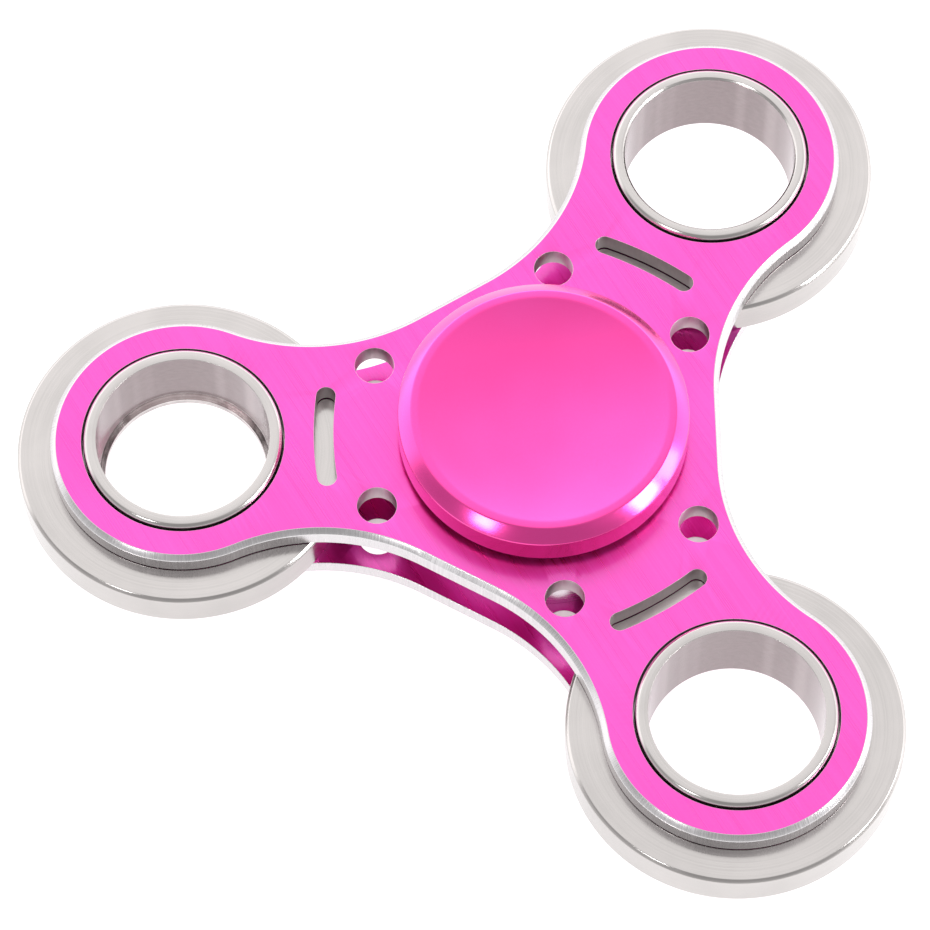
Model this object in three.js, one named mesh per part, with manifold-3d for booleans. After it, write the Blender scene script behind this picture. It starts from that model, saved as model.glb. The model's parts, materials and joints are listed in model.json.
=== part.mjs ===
// Three-armed metal fidget spinner: two identical plates on a bearing housing, three captive ring
// weights held between the plates, a ball bearing in the middle and two finger caps on its inner ring.
// Millimetres, +Z up along the spin axis, origin at the centre of the bearing.

import * as THREE from 'three';
import { mergeVertices } from 'three/addons/utils/BufferGeometryUtils.js';
import Module from 'manifold-3d';

const wasm = await Module();
wasm.setup();

// ---- driving dimensions ----

const ARM_ANGLES = [60, 180, 300].map(THREE.MathUtils.degToRad);
const ARM_RADIUS = 31;              // spin axis to the centre of each ring weight
const HALF_ARM_STEP = Math.PI / 3;  // from an arm to the waist beside it

const PLATE_GAP = 4.2;              // between the two plates
const PLATE_THICKNESS = 2;
const PLATE_CHAMFER = 0.45;         // 45 degrees, round the outer face only
const LOBE_RADIUS = 11;             // outer face, round each ring weight
const WAIST_RADIUS = 14.91;         // outer face, spin axis to the straight part of the waist
const WAIST_HALF_LENGTH = 3.5;      // straight part of the waist, each side of its middle
const WEIGHT_HOLE_RADIUS = 8.75;
const HOUSING_HOLE_RADIUS = 11.7;

const SMALL_HOLE_RADIUS = 1.7;
const SMALL_HOLE_REACH = 15.9;      // spin axis to each small hole
const SMALL_HOLE_ANGLE = THREE.MathUtils.degToRad(25);  // from the nearest arm
const SLOT_REACH = 18.9;            // spin axis to the middle of each curved slot
const SLOT_BEND_RADIUS = 30;
const SLOT_WIDTH = 1.66;
const SLOT_LENGTH = 9.44;

const DISC_RADIUS = 14.4;
const DISC_THICKNESS = 4;
const DISC_CHAMFER = 0.28;
const TUBE_RADIUS = 8.55;
const BORE_RADIUS = 7.49;
const TUBE_STAND_OUT = 0.4;         // how far a tube's upper rim stands out of the top plate
const TUBE_INSET = 0.2;             // how far its lower end lies inside the bottom plate
const RIM_EDGE_BREAK = 0.27;        // at both ends of each tube
const BORE_CHAMFER = 0.2;           // at the upper rim, on the first weight only
const FUNNEL_RADIUS = 7.98;         // of the 45 degree funnel at the lower end of each bore
const LIP_RADIUS = 7.03;            // the second weight's bore narrows to a lip
const LIP_Z = -1.87;                // where that narrowing starts

const HOUSING_RADIUS = 13.5;        // the shoulder that spaces the plates
const SPIGOT_RADIUS = 11.65;        // the rims that the plates are pressed on
const SEAT_CLEARANCE = 0.02;        // between faces that are pressed together

const BEARING_OUTER_RADIUS = 11;
const BEARING_BORE_RADIUS = 4;
const BEARING_WIDTH = 7;
const BALL_COUNT = 7;
const BALL_RADIUS = 3.969 / 2;
const PITCH_RADIUS = 7.5;
const GROOVE_RADIUS = 2.12;
const OUTER_SHOULDER_RADIUS = 8.9;
const INNER_SHOULDER_RADIUS = 6.1;
const SHIELD_SEAT_RADIUS = 9.5;
const SHIELD_SEAT_DEPTH = 0.6;
const SHIELD_INNER_RADIUS = 6.35;
const SHIELD_THICKNESS = 0.3;
const CAGE_HALF_WIDTH = 0.65;       // radial, each side of the pitch circle
const CAGE_HEIGHT = 2.55;           // each half, from the bearing's middle plane
const POCKET_RADIUS = 2.2;

const CAP_RADIUS = 12.5;
const CAP_CLEARANCE = 0.9;          // plate to the underside of the cap
const CAP_WALL_TOP = 3.55;          // above the plate
const CAP_TOP = 4.5;                // above the plate
const CAP_LIP_OUTER_RADIUS = 11.35;
const CAP_LIP_INNER_RADIUS = 10.75;
const CAP_DISH_DEPTH = 1.7;
const CAP_BOSS_RADIUS = 5.4;        // bears on the bearing's inner ring
const CAP_STEM_RADIUS = 3.95;
const STEM_END = 0.15;              // each stem stops short of the middle plane
const STUD_RADIUS = 2.4;
const STUD_END = 4.2;
const STUD_HOLE_RADIUS = 2.5;
const STUD_HOLE_END = 4.6;

const TURNED_SEGMENTS = 40;
const CAGE_SEGMENTS = 4 * BALL_COUNT;
const BALL_SEGMENTS = 12;
const BALL_RINGS = 8;
const GROOVE_STEPS = 4;
const DISH_STEPS = 4;
const LOBE_STEPS = 20;
const WAIST_STEPS = 6;
const SLOT_STEPS = 6;
const SMALL_HOLE_SEGMENTS = 14;

const PLATE_INNER_Z = PLATE_GAP / 2;
const PLATE_OUTER_Z = PLATE_INNER_Z + PLATE_THICKNESS;
const DISH_SPHERE_RADIUS = (CAP_LIP_INNER_RADIUS ** 2 + CAP_DISH_DEPTH ** 2) / (2 * CAP_DISH_DEPTH);

// ---- materials ----

const metal = (color, roughness, metalness = 1) => () =>
  new THREE.MeshStandardMaterial({ color, roughness, metalness });

const pinkAluminium = metal(0xff5fc4, 0.35, 0.6);
const pinkCap = metal(0xff4db0, 0.28, 0.6);
const bareAluminium = metal(0xc9c9cc, 0.35);
const weightSteel = metal(0xcfc9c2, 0.25);
const bearingSteel = metal(0xb8babd, 0.15);
const shieldSteel = metal(0xa9abae, 0.35);

// ---- outlines ----

// Points on a circle's arc, ends included.
function arcPoints(centre, radius, from, to, steps) {
  return Array.from({ length: steps + 1 }, (_, i) => {
    const angle = from + (to - from) * i / steps;
    return new THREE.Vector2(centre.x + radius * Math.cos(angle), centre.y + radius * Math.sin(angle));
  });
}

const point = (x, y) => new THREE.Vector2(x, y);
const polar = (radius, angle) => point(radius * Math.cos(angle), radius * Math.sin(angle));
const turnedBy = (points, angle) => points.map(p => p.clone().rotateAround(point(0, 0), angle));

// One third of the outer face's outline, for the arm along +X: from the middle of the waist before it,
// along a hollow curve, round the lobe, and along the mirrored curve to the waist after it.
function armOutline() {
  const lobe = point(ARM_RADIUS, 0);
  const alongWaist = ARM_RADIUS * Math.sin(HALF_ARM_STEP) - WAIST_HALF_LENGTH;
  const pastWaist = WAIST_RADIUS - ARM_RADIUS * Math.cos(HALF_ARM_STEP);
  const toHollow = pastWaist ** 2 + alongWaist ** 2 - LOBE_RADIUS ** 2;
  const hollowRadius = toHollow / (2 * (LOBE_RADIUS - pastWaist));
  const hollow = point(WAIST_RADIUS + hollowRadius, -WAIST_HALF_LENGTH)
    .rotateAround(point(0, 0), HALF_ARM_STEP);
  const towardsLobe = lobe.clone().sub(hollow).angle();
  const towardsHollow = hollow.clone().sub(lobe).angle();
  const upper = arcPoints(hollow, hollowRadius, towardsLobe, Math.PI + HALF_ARM_STEP, WAIST_STEPS);
  const lower = upper.map(p => point(p.x, -p.y)).reverse();
  const tip = arcPoints(lobe, LOBE_RADIUS, -towardsHollow, towardsHollow, LOBE_STEPS);
  return [...lower, ...tip.slice(1, -1), ...upper];
}

function plateOutline() {
  const third = armOutline();
  return ARM_ANGLES.flatMap(angle => turnedBy(third, angle));
}

// A curved slot with round ends, on the arm along +X.
function slotOutline() {
  const bend = point(SLOT_REACH - SLOT_BEND_RADIUS, 0);
  const half = SLOT_WIDTH / 2;
  const reach = Math.asin((SLOT_LENGTH / 2 - half) / SLOT_BEND_RADIUS);
  const endCentre = angle => polar(SLOT_BEND_RADIUS, angle).add(bend);
  return [
    ...arcPoints(bend, SLOT_BEND_RADIUS + half, -reach, reach, SLOT_STEPS),
    ...arcPoints(endCentre(reach), half, reach, reach + Math.PI, SLOT_STEPS).slice(1, -1),
    ...arcPoints(bend, SLOT_BEND_RADIUS - half, reach, -reach, SLOT_STEPS),
    ...arcPoints(endCentre(-reach), half, Math.PI - reach, 2 * Math.PI - reach, SLOT_STEPS).slice(1, -1),
  ];
}

// ---- solids ----

// A turned piece about +Z, from a profile of [radius, height] pairs that runs up its outside.
function turned(profile, { closed = true, segments = TURNED_SEGMENTS } = {}) {
  const loop = closed ? [...profile, profile[0]] : profile;
  const points = loop.map(([radius, height]) => point(radius, height));
  return new THREE.LatheGeometry(points, segments).rotateX(Math.PI / 2);
}

// A mirrored profile is run backwards, so that its faces still point out.
const mirrored = profile => profile.map(([radius, height]) => [radius, -height]).reverse();

const profileArc = (radius, height, size, from, to, steps) =>
  arcPoints(point(radius, height), size, from, to, steps).map(p => [p.x, p.y]);

const prism = (outline, depth, z) =>
  new THREE.ExtrudeGeometry(new THREE.Shape(outline), { depth, bevelEnabled: false }).translate(0, 0, z);

function roundBar(radius, length, centre, segments) {
  return new THREE.CylinderGeometry(radius, radius, length, segments)
    .rotateX(Math.PI / 2).translate(centre.x, centre.y, 0);
}

function toSolid(geometry) {
  const bare = geometry.clone();
  bare.deleteAttribute('normal');
  bare.deleteAttribute('uv');
  const merged = mergeVertices(bare, 1e-4);
  return new wasm.Manifold(new wasm.Mesh({
    numProp: 3,
    vertProperties: new Float32Array(merged.attributes.position.array),
    triVerts: new Uint32Array(merged.index.array),
  }));
}

function toGeometry(solid) {
  const mesh = solid.getMesh();
  const geometry = new THREE.BufferGeometry();
  geometry.setAttribute('position', new THREE.BufferAttribute(mesh.vertProperties, 3));
  geometry.setIndex(new THREE.BufferAttribute(mesh.triVerts, 1));
  geometry.computeVertexNormals();
  return geometry;
}

const cutAway = (geometry, cutters) =>
  toGeometry(cutters.reduce((solid, cutter) => solid.subtract(toSolid(cutter)), toSolid(geometry)));

// ---- the plates ----

// A plate lying with its inner face at z = 0 and its chamfered outer face up.
function plate() {
  const blank = new THREE.ExtrudeGeometry(new THREE.Shape(plateOutline()), {
    depth: PLATE_THICKNESS,
    bevelThickness: PLATE_CHAMFER,
    bevelSize: PLATE_CHAMFER,
    bevelSegments: 1,
  }).translate(0, 0, -PLATE_CHAMFER);
  const reach = 2 * (ARM_RADIUS + DISC_RADIUS);
  const throughDepth = 4 * PLATE_THICKNESS;
  const belowPlate = new THREE.BoxGeometry(reach, reach, PLATE_THICKNESS)
    .translate(0, 0, -PLATE_THICKNESS / 2);
  const cutters = [
    belowPlate,
    roundBar(HOUSING_HOLE_RADIUS, throughDepth, point(0, 0), TURNED_SEGMENTS),
  ];
  for (const angle of ARM_ANGLES) {
    cutters.push(roundBar(WEIGHT_HOLE_RADIUS, throughDepth, polar(ARM_RADIUS, angle), TURNED_SEGMENTS));
    cutters.push(prism(turnedBy(slotOutline(), angle), throughDepth, -throughDepth / 2));
    for (const side of [-1, 1]) {
      const centre = polar(SMALL_HOLE_REACH, angle + side * SMALL_HOLE_ANGLE);
      cutters.push(roundBar(SMALL_HOLE_RADIUS, throughDepth, centre, SMALL_HOLE_SEGMENTS));
    }
  }
  return cutAway(blank, cutters);
}

// ---- the ring weights ----

// A tube with a wide disc round its middle. Its bore opens in a funnel at the lower end.
function ringWeight({ upperChamfer, lipRadius }) {
  const top = PLATE_OUTER_Z + TUBE_STAND_OUT;
  const end = TUBE_INSET - PLATE_OUTER_Z;
  const disc = DISC_THICKNESS / 2;
  const rim = TUBE_RADIUS - RIM_EDGE_BREAK;
  const chamfer = upperChamfer > 0 ? [[BORE_RADIUS + upperChamfer, top]] : [];
  const narrowing = BORE_RADIUS - lipRadius;
  const lip = narrowing > 0 ? [[BORE_RADIUS, LIP_Z], [lipRadius, LIP_Z - narrowing]] : [];
  return turned([
    [FUNNEL_RADIUS, end],
    [rim, end],
    [TUBE_RADIUS, end + RIM_EDGE_BREAK],
    [TUBE_RADIUS, -disc],
    [DISC_RADIUS - DISC_CHAMFER, -disc],
    [DISC_RADIUS, DISC_CHAMFER - disc],
    [DISC_RADIUS, disc - DISC_CHAMFER],
    [DISC_RADIUS - DISC_CHAMFER, disc],
    [TUBE_RADIUS, disc],
    [TUBE_RADIUS, top - RIM_EDGE_BREAK],
    [rim, top],
    ...chamfer,
    [BORE_RADIUS, top - upperChamfer],
    ...lip,
    [lipRadius, end + FUNNEL_RADIUS - lipRadius],
  ]);
}

// ---- the bearing and its housing ----

function bearingHousing() {
  const shoulder = PLATE_INNER_Z - SEAT_CLEARANCE;
  const bore = BEARING_OUTER_RADIUS + SEAT_CLEARANCE;
  const end = PLATE_OUTER_Z - SEAT_CLEARANCE;
  return turned([
    [bore, -end],
    [SPIGOT_RADIUS, -end],
    [SPIGOT_RADIUS, -shoulder],
    [HOUSING_RADIUS, -shoulder],
    [HOUSING_RADIUS, shoulder],
    [SPIGOT_RADIUS, shoulder],
    [SPIGOT_RADIUS, end],
    [bore, end],
  ]);
}

// Half the angle that a ring's groove takes up, seen from the pitch circle.
const grooveHalfAngle = shoulderRadius =>
  Math.acos(Math.abs(shoulderRadius - PITCH_RADIUS) / GROOVE_RADIUS);

function outerRing() {
  const end = BEARING_WIDTH / 2;
  const seat = end - SHIELD_SEAT_DEPTH;
  const half = grooveHalfAngle(OUTER_SHOULDER_RADIUS);
  return turned([
    [BEARING_OUTER_RADIUS, -end],
    [BEARING_OUTER_RADIUS, end],
    [SHIELD_SEAT_RADIUS, end],
    [SHIELD_SEAT_RADIUS, seat],
    [OUTER_SHOULDER_RADIUS, seat],
    ...profileArc(PITCH_RADIUS, 0, GROOVE_RADIUS, half, -half, GROOVE_STEPS),
    [OUTER_SHOULDER_RADIUS, -seat],
    [SHIELD_SEAT_RADIUS, -seat],
    [SHIELD_SEAT_RADIUS, -end],
  ]);
}

function innerRing() {
  const end = BEARING_WIDTH / 2;
  const half = grooveHalfAngle(INNER_SHOULDER_RADIUS);
  return turned([
    [BEARING_BORE_RADIUS, -end],
    [INNER_SHOULDER_RADIUS, -end],
    ...profileArc(PITCH_RADIUS, 0, GROOVE_RADIUS, Math.PI + half, Math.PI - half, GROOVE_STEPS),
    [INNER_SHOULDER_RADIUS, end],
    [BEARING_BORE_RADIUS, end],
  ]);
}

function shield() {
  const inner = BEARING_WIDTH / 2 - SHIELD_SEAT_DEPTH + SEAT_CLEARANCE;
  const outer = inner + SHIELD_THICKNESS;
  return turned([
    [SHIELD_INNER_RADIUS, inner],
    [SHIELD_SEAT_RADIUS - SEAT_CLEARANCE, inner],
    [SHIELD_SEAT_RADIUS - SEAT_CLEARANCE, outer],
    [SHIELD_INNER_RADIUS, outer],
  ]);
}

const ballCentre = index => polar(PITCH_RADIUS, 2 * Math.PI * index / BALL_COUNT);

const sphere = radius =>
  new THREE.SphereGeometry(radius, BALL_SEGMENTS, BALL_RINGS).rotateX(Math.PI / 2);

// The upper half of the cage that spaces the balls.
function cageHalf() {
  const ring = turned([
    [PITCH_RADIUS - CAGE_HALF_WIDTH, SEAT_CLEARANCE],
    [PITCH_RADIUS + CAGE_HALF_WIDTH, SEAT_CLEARANCE],
    [PITCH_RADIUS + CAGE_HALF_WIDTH, CAGE_HEIGHT],
    [PITCH_RADIUS - CAGE_HALF_WIDTH, CAGE_HEIGHT],
  ], { segments: CAGE_SEGMENTS });
  const pockets = Array.from({ length: BALL_COUNT }, (_, index) => {
    const centre = ballCentre(index);
    return sphere(POCKET_RADIUS).translate(centre.x, centre.y, 0);
  });
  return cutAway(ring, pockets);
}

// ---- the finger caps ----

// The profile of the upper cap's outside, from its boss to the middle of its dish.
function capOutside() {
  const boss = BEARING_WIDTH / 2 + SEAT_CLEARANCE;
  const underside = PLATE_OUTER_Z + CAP_CLEARANCE;
  const wallTop = PLATE_OUTER_Z + CAP_WALL_TOP;
  const top = PLATE_OUTER_Z + CAP_TOP;
  const dishCentre = top - CAP_DISH_DEPTH + DISH_SPHERE_RADIUS;
  const dishHalf = Math.asin(CAP_LIP_INNER_RADIUS / DISH_SPHERE_RADIUS);
  const straightDown = -Math.PI / 2;
  return [
    [CAP_STEM_RADIUS, boss],
    [CAP_BOSS_RADIUS, boss],
    [CAP_BOSS_RADIUS, underside],
    [CAP_RADIUS, underside],
    [CAP_RADIUS, wallTop],
    [CAP_LIP_OUTER_RADIUS, top],
    ...profileArc(0, dishCentre, DISH_SPHERE_RADIUS, straightDown + dishHalf, straightDown, DISH_STEPS),
  ];
}

// The upper cap's stem has the threaded hole.
function topCap() {
  return turned([
    [0, STUD_HOLE_END],
    [STUD_HOLE_RADIUS, STUD_HOLE_END],
    [STUD_HOLE_RADIUS, STEM_END],
    [CAP_STEM_RADIUS, STEM_END],
    ...capOutside(),
  ], { closed: false });
}

// The lower cap's stem ends in the threaded stud.
function bottomCap() {
  return turned([
    ...mirrored(capOutside()),
    [CAP_STEM_RADIUS, -STEM_END],
    [STUD_RADIUS, -STEM_END],
    [STUD_RADIUS, STUD_END],
    [0, STUD_END],
  ], { closed: false });
}

// ---- assembly ----

const spinner = new THREE.Group();

function add(name, geometry, material, parent = spinner) {
  const mesh = new THREE.Mesh(geometry, material());
  mesh.name = name;
  parent.add(mesh);
  return mesh;
}

const upsideDown = mesh => mesh.rotateX(Math.PI);

add('top_plate', plate(), pinkAluminium).position.z = PLATE_INNER_Z;
const bottomPlate = upsideDown(add('bottom_plate', plate(), pinkAluminium));
bottomPlate.position.z = -PLATE_INNER_Z;
add('bearing_housing', bearingHousing(), bareAluminium);

const WEIGHT_BORES = [
  { upperChamfer: BORE_CHAMFER, lipRadius: BORE_RADIUS },
  { upperChamfer: 0, lipRadius: LIP_RADIUS },
  { upperChamfer: 0, lipRadius: BORE_RADIUS },
];
ARM_ANGLES.forEach((angle, index) => {
  const arm = new THREE.Group();
  const centre = polar(ARM_RADIUS, angle);
  arm.position.set(centre.x, centre.y, 0);
  spinner.add(arm);
  add(`ring_weight_${index + 1}`, ringWeight(WEIGHT_BORES[index]), weightSteel, arm);
});

add('bearing_outer_ring', outerRing(), bearingSteel);
add('bearing_inner_ring', innerRing(), bearingSteel);
add('upper_shield', shield(), shieldSteel);
upsideDown(add('lower_shield', shield(), shieldSteel));
add('upper_cage_half', cageHalf(), shieldSteel);
upsideDown(add('lower_cage_half', cageHalf(), shieldSteel));
for (let index = 0; index < BALL_COUNT; index += 1) {
  const centre = ballCentre(index);
  add(`ball_${index + 1}`, sphere(BALL_RADIUS), bearingSteel).position.set(centre.x, centre.y, 0);
}

add('top_cap', topCap(), pinkCap);
add('bottom_cap', bottomCap(), pinkCap);

export default spinner;
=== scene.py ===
import json
from math import acos, asin, atan2, cos, hypot, pi, radians, sin, sqrt

import bmesh
import bpy
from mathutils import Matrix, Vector


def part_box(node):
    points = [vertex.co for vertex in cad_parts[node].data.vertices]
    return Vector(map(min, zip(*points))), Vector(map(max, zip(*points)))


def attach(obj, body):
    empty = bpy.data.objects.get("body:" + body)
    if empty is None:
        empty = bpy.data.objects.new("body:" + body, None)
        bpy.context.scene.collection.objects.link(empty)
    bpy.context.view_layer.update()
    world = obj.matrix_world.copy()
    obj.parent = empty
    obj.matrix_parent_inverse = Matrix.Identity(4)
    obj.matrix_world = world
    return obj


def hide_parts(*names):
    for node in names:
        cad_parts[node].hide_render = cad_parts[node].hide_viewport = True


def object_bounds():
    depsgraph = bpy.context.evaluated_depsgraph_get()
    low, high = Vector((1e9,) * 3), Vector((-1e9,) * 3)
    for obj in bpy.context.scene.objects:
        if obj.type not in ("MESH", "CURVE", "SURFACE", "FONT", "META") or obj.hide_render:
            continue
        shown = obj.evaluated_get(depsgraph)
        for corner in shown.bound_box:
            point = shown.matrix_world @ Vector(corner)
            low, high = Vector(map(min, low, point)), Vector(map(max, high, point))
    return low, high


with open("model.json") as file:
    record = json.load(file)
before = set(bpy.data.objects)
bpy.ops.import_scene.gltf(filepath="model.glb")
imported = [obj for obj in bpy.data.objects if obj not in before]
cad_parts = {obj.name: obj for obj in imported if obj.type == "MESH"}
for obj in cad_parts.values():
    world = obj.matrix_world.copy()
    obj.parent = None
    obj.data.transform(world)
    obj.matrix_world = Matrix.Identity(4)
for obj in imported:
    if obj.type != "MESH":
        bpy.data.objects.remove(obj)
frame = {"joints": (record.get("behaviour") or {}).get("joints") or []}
cad_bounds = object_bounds()

# ---- sizes from the frame, in millimetres ----

MM = 0.001


def corners_of(node):
    """The lowest and highest corner of a node of the frame, in millimetres."""
    low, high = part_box(node)
    return low / MM, high / MM


JOINT_AT = {joint["name"]: Vector(joint["pos_m"]) / MM for joint in frame["joints"]}
WEIGHT_COUNT = 3
BALL_COUNT = 7
ARM_CENTRES = [JOINT_AT[f"weight_{index + 1}_turn"] for index in range(WEIGHT_COUNT)]
ARM_ANGLES = [atan2(centre.y, centre.x) for centre in ARM_CENTRES]
ARM_RADIUS = ARM_CENTRES[0].length
PITCH_RADIUS = JOINT_AT["ball_1_roll"].length

PLATE_INNER_Z = corners_of("top_plate")[0].z
PLATE_OUTER_Z = corners_of("top_plate")[1].z
WEIGHT_LOW, WEIGHT_HIGH = corners_of("ring_weight_2")
WEIGHT_TOP = WEIGHT_HIGH.z
WEIGHT_END = WEIGHT_LOW.z
DISC_RADIUS = (WEIGHT_HIGH.y - WEIGHT_LOW.y) / 2
CAP_RADIUS = corners_of("top_cap")[1].x
CAP_TOP = corners_of("top_cap")[1].z
STEM_END = corners_of("top_cap")[0].z
STUD_END = corners_of("bottom_cap")[1].z
HOUSING_RADIUS = corners_of("bearing_housing")[1].x
BEARING_OUTER_RADIUS = corners_of("bearing_outer_ring")[1].x
BEARING_END = corners_of("bearing_outer_ring")[1].z
INNER_SHOULDER_RADIUS = corners_of("bearing_inner_ring")[1].x
SHIELD_LOW = corners_of("upper_shield")[0].z
SHIELD_HIGH = corners_of("upper_shield")[1].z
SHIELD_RADIUS = corners_of("upper_shield")[1].x
CAGE_TOP = corners_of("upper_cage_half")[1].z

# ---- sizes that the frame's boxes don't hold, in millimetres ----

PLATE_CHAMFER = 0.45
LOBE_RADIUS = 11
WAIST_RADIUS = 14.91
WAIST_HALF_LENGTH = 3.5
HALF_ARM_STEP = pi / 3
WEIGHT_HOLE_RADIUS = 8.75
HOUSING_HOLE_RADIUS = 11.7
SMALL_HOLE_RADIUS = 1.7
SMALL_HOLE_REACH = 15.9
SMALL_HOLE_ANGLE = radians(25)
SLOT_REACH = 18.9
SLOT_BEND_RADIUS = 30
SLOT_WIDTH = 1.66
SLOT_LENGTH = 9.44

DISC_HALF = 1.95
DISC_CHAMFER = 0.28
TUBE_RADIUS = 8.55
BORE_RADIUS = 7.49
BORE_CHAMFER = 0.2
RIM_EDGE_BREAK = 0.27
FUNNEL_RADIUS = 7.98
LIP_RADIUS = 7.03
LIP_Z = -1.87

SPIGOT_RADIUS = 11.65
SEAT_CLEARANCE = 0.02
BEARING_BORE_RADIUS = 4
BALL_RADIUS = 1.9845
GROOVE_RADIUS = 2.12
OUTER_SHOULDER_RADIUS = 8.9
SHIELD_SEAT_RADIUS = 9.5
SHIELD_SEAT_DEPTH = 0.6
SHIELD_INNER_RADIUS = 6.35
CAGE_HALF_WIDTH = 0.65
CAGE_SHEET = 0.35
RIVET_RADIUS = 0.5
RIVET_HEIGHT = 0.3
SHIELD_FLANGE = 0.75
SHIELD_BEND_RUN = 0.25
SHIELD_BEND_DROP = 0.1

CAP_WALL_TOP = 3.55
CAP_CLEARANCE = 0.9
CAP_LIP_OUTER_RADIUS = 11.35
CAP_LIP_INNER_RADIUS = 10.75
CAP_DISH_DEPTH = 1.7
CAP_BOSS_RADIUS = 5.4
CAP_STEM_RADIUS = 3.95
STUD_RADIUS = 2.4
STUD_HOLE_RADIUS = 2.5
STUD_HOLE_END = 4.6

# ---- how finely round things are drawn ----

TURNED_STEPS = 192
FINE_TURNED_STEPS = 256
LOBE_STEPS = 120
HOLLOW_STEPS = 28
SLOT_STEPS = 24
HOLE_STEPS = 64
DISH_STEPS = 40
GROOVE_STEPS = 16
BALL_STEPS = 64
BALL_ARC_STEPS = 32
FILLET_STEPS = 3
CAGE_STEPS = 420
RIVET_STEPS = 24
RIVET_RINGS = 5

# ---- how near counts as the same place, in millimetres ----

ON_AXIS = 1e-6
ON_RADIUS = 0.001


# ---- profiles and outlines, as lists of (x, y) in millimetres ----

def arc(centre, radius, start, end, steps):
    return [
        (centre[0] + radius * cos(start + (end - start) * i / steps),
         centre[1] + radius * sin(start + (end - start) * i / steps))
        for i in range(steps + 1)
    ]


def turned_by(points, angle):
    return [(x * cos(angle) - y * sin(angle), x * sin(angle) + y * cos(angle)) for x, y in points]


def filleted(corners, closed=True):
    """Rounds a profile of (x, y, fillet) corners.
    A fillet is how far from the corner its rounding starts."""
    count = len(corners)
    points = []
    for i, (x, y, fillet) in enumerate(corners):
        at_end = not closed and i in (0, count - 1)
        if fillet == 0 or at_end:
            points.append((x, y))
            continue
        here = Vector((x, y))
        before = Vector(corners[i - 1][:2])
        after = Vector(corners[(i + 1) % count][:2])
        start = here + (before - here).normalized() * fillet
        end = here + (after - here).normalized() * fillet
        for step in range(FILLET_STEPS + 1):
            t = step / FILLET_STEPS
            p = start * (1 - t) ** 2 + here * 2 * t * (1 - t) + end * t ** 2
            points.append((p.x, p.y))
    return points


def arm_outline(grow):
    """One third of a plate's outline for the arm along +X, moved outwards by grow."""
    along_waist = ARM_RADIUS * sin(HALF_ARM_STEP) - WAIST_HALF_LENGTH
    past_waist = WAIST_RADIUS - ARM_RADIUS * cos(HALF_ARM_STEP)
    to_hollow = past_waist ** 2 + along_waist ** 2 - LOBE_RADIUS ** 2
    hollow_radius = to_hollow / (2 * (LOBE_RADIUS - past_waist))
    hollow = turned_by([(WAIST_RADIUS + hollow_radius, -WAIST_HALF_LENGTH)], HALF_ARM_STEP)[0]
    towards_hollow = atan2(hollow[1], hollow[0] - ARM_RADIUS)
    upper = arc(hollow, hollow_radius - grow, towards_hollow - pi, HALF_ARM_STEP - pi, HOLLOW_STEPS)
    lower = [(x, -y) for x, y in reversed(upper)]
    tip = arc((ARM_RADIUS, 0), LOBE_RADIUS + grow, -towards_hollow, towards_hollow, LOBE_STEPS)
    return lower + tip[1:-1] + upper


def plate_outline(grow):
    third = arm_outline(grow)
    return [p for angle in ARM_ANGLES for p in turned_by(third, angle)]


def circle_outline(centre, radius, steps):
    return lambda grow: arc(centre, radius + grow, 0, 2 * pi, steps)[:-1]


def slot_outline(angle):
    """A curved slot with round ends, as a function of how far its wall is moved outwards."""
    bend = (SLOT_REACH - SLOT_BEND_RADIUS, 0)
    reach = asin((SLOT_LENGTH - SLOT_WIDTH) / 2 / SLOT_BEND_RADIUS)
    ends = [(bend[0] + SLOT_BEND_RADIUS * cos(a), SLOT_BEND_RADIUS * sin(a)) for a in (reach, -reach)]

    def outline(grow):
        half = SLOT_WIDTH / 2 + grow
        points = arc(bend, SLOT_BEND_RADIUS + half, -reach, reach, SLOT_STEPS)[:-1]
        points += arc(ends[0], half, reach, reach + pi, SLOT_STEPS)[:-1]
        points += arc(bend, SLOT_BEND_RADIUS - half, reach, -reach, SLOT_STEPS)[:-1]
        points += arc(ends[1], half, pi - reach, 2 * pi - reach, SLOT_STEPS)[:-1]
        return turned_by(points, angle)

    return outline


# ---- meshes ----

def finished_piece(name, bm, centre, materials):
    """A mesh object from a mesh in millimetres.
    Its points also carry their place on the piece, in millimetres, for its materials."""
    bmesh.ops.recalc_face_normals(bm, faces=bm.faces)
    for face in bm.faces:
        face.smooth = True
    mesh = bpy.data.meshes.new(name)
    bm.to_mesh(mesh)
    bm.free()
    place = mesh.attributes.new("place", "FLOAT_VECTOR", "POINT")
    for vertex, item in zip(mesh.vertices, place.data):
        item.vector = vertex.co
        vertex.co = vertex.co * MM
    piece = bpy.data.objects.new(name, mesh)
    bpy.context.scene.collection.objects.link(piece)
    piece.location = Vector(centre) * MM
    for material in materials:
        mesh.materials.append(material)
    weighted = piece.modifiers.new("even_shading", "WEIGHTED_NORMAL")
    weighted.keep_sharp = True
    return piece


def bridge(bm, first, second, uv, distances, heights, material=0):
    """Faces between two closed rings of vertices.
    The UV map gets the distance along the ring and the height down the edge."""
    count = len(first)
    for j in range(count):
        k = (j + 1) % count
        face = bm.faces.new((first[j], first[k], second[k], second[j]))
        face.material_index = material
        marks = [(distances[j], heights[0]), (distances[j + 1], heights[0]),
                 (distances[j + 1], heights[1]), (distances[j], heights[1])]
        for loop, mark in zip(face.loops, marks):
            loop[uv].uv = mark


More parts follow.
